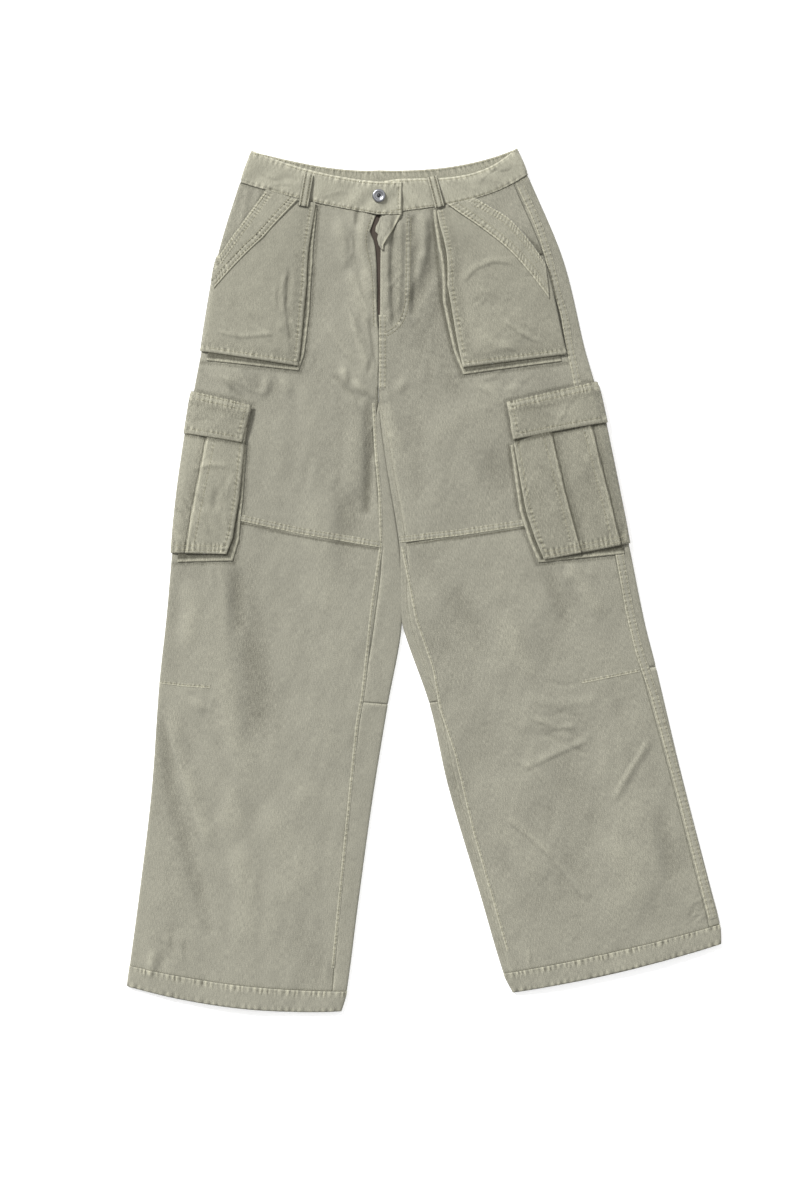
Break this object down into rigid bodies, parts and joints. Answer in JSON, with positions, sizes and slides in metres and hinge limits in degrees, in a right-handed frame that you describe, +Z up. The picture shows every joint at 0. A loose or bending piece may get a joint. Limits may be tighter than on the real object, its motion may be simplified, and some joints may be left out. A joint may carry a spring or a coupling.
{
  "type": "cargo pants",
  "caption": "Wide-leg cotton cargo pants laid flat, front up, with slanted patch pockets, pleated cargo pockets on the side seams, belt loops, a metal button and a gaping fly.",
  "frame": {"origin": "centre of the laid garment's box, on the surface that it lies on", "axes": "+Y towards the waist, +X towards the wearer's left leg, +Z up from the surface"},
  "size_m": [0.7602, 1.1035, 0.0158],
  "materials": {
    "twill_panel": "washed olive-grey cotton twill, matt",
    "twill_edge": "double cotton twill with worn, paler topstitched edges",
    "twill_pocket": "washed cotton twill with topstitched edges, matt",
    "zip_tape": "dark brown-olive woven tape",
    "button_metal": "dull nickel-grey stamped jeans button"
  },
  "bodies": {
    "root": {"front_upper_right": "twill_panel", "front_lower_right": "twill_panel", "back_upper_right": "twill_panel", "back_lower_right": "twill_panel", "back_inner_upper_right": "twill_panel", "back_inner_lower_right": "twill_panel", "hem_right": "twill_edge", "pocket_panel_right": "twill_pocket", "pocket_gusset_right": "twill_pocket", "pocket_band_right": "twill_edge", "pocket_bearer_right": "twill_pocket", "cargo_body_right": "twill_pocket", "cargo_gusset_right": "twill_pocket", "cargo_flap_right": "twill_pocket", "front_upper_left": "twill_panel", "front_lower_left": "twill_panel", "back_upper_left": "twill_panel", "back_lower_left": "twill_panel", "back_inner_upper_left": "twill_panel", "back_inner_lower_left": "twill_panel", "hem_left": "twill_edge", "pocket_panel_left": "twill_pocket", "pocket_gusset_left": "twill_pocket", "pocket_band_left": "twill_edge", "pocket_bearer_left": "twill_pocket", "cargo_body_left": "twill_pocket", "cargo_gusset_left": "twill_pocket", "cargo_flap_left": "twill_pocket", "waistband": "twill_edge", "belt_loop_front_right": "twill_edge", "belt_loop_front_left": "twill_edge", "belt_loop_back_right": "twill_edge", "belt_loop_back_centre": "twill_edge", "belt_loop_back_left": "twill_edge", "fly_zip_tape": "zip_tape", "fly_shield": "twill_panel", "button": "button_metal"}
  },
  "joints": []
}
